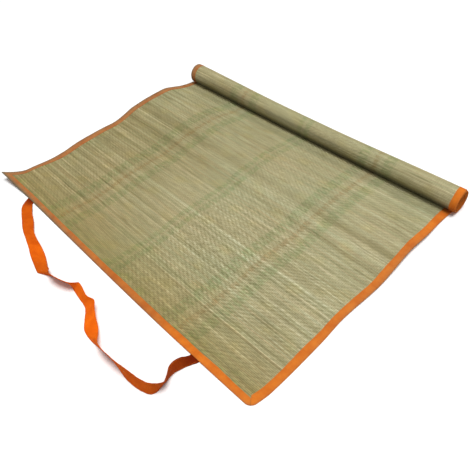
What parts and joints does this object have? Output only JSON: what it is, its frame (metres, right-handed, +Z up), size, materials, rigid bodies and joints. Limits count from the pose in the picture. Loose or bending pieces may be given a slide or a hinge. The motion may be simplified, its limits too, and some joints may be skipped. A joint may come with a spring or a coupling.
{
  "type": "beach mat",
  "caption": "Woven straw beach mat with cloth-bound edges and a webbing carry strap, lying with its far end wound into a roll.",
  "frame": {"origin": "on the floor under the sheet's flat stretch, midway across the mat and 150 mm in from its free edge", "axes": "+X across the mat, from its left edge to its right; +Y from the free edge towards the roll; +Z up from the floor"},
  "size_m": [0.9221, 0.8134, 0.0581],
  "materials": {
    "straw": "matt woven straw with dyed stripes",
    "edge_tape": "matt woven binding tape",
    "strap_cloth": "matt flat webbing"
  },
  "bodies": {
    "root": {"straw_sheet": "straw", "tape_left": "edge_tape", "tape_right": "edge_tape", "tape_front": "edge_tape", "carry_strap": "strap_cloth"}
  },
  "joints": []
}
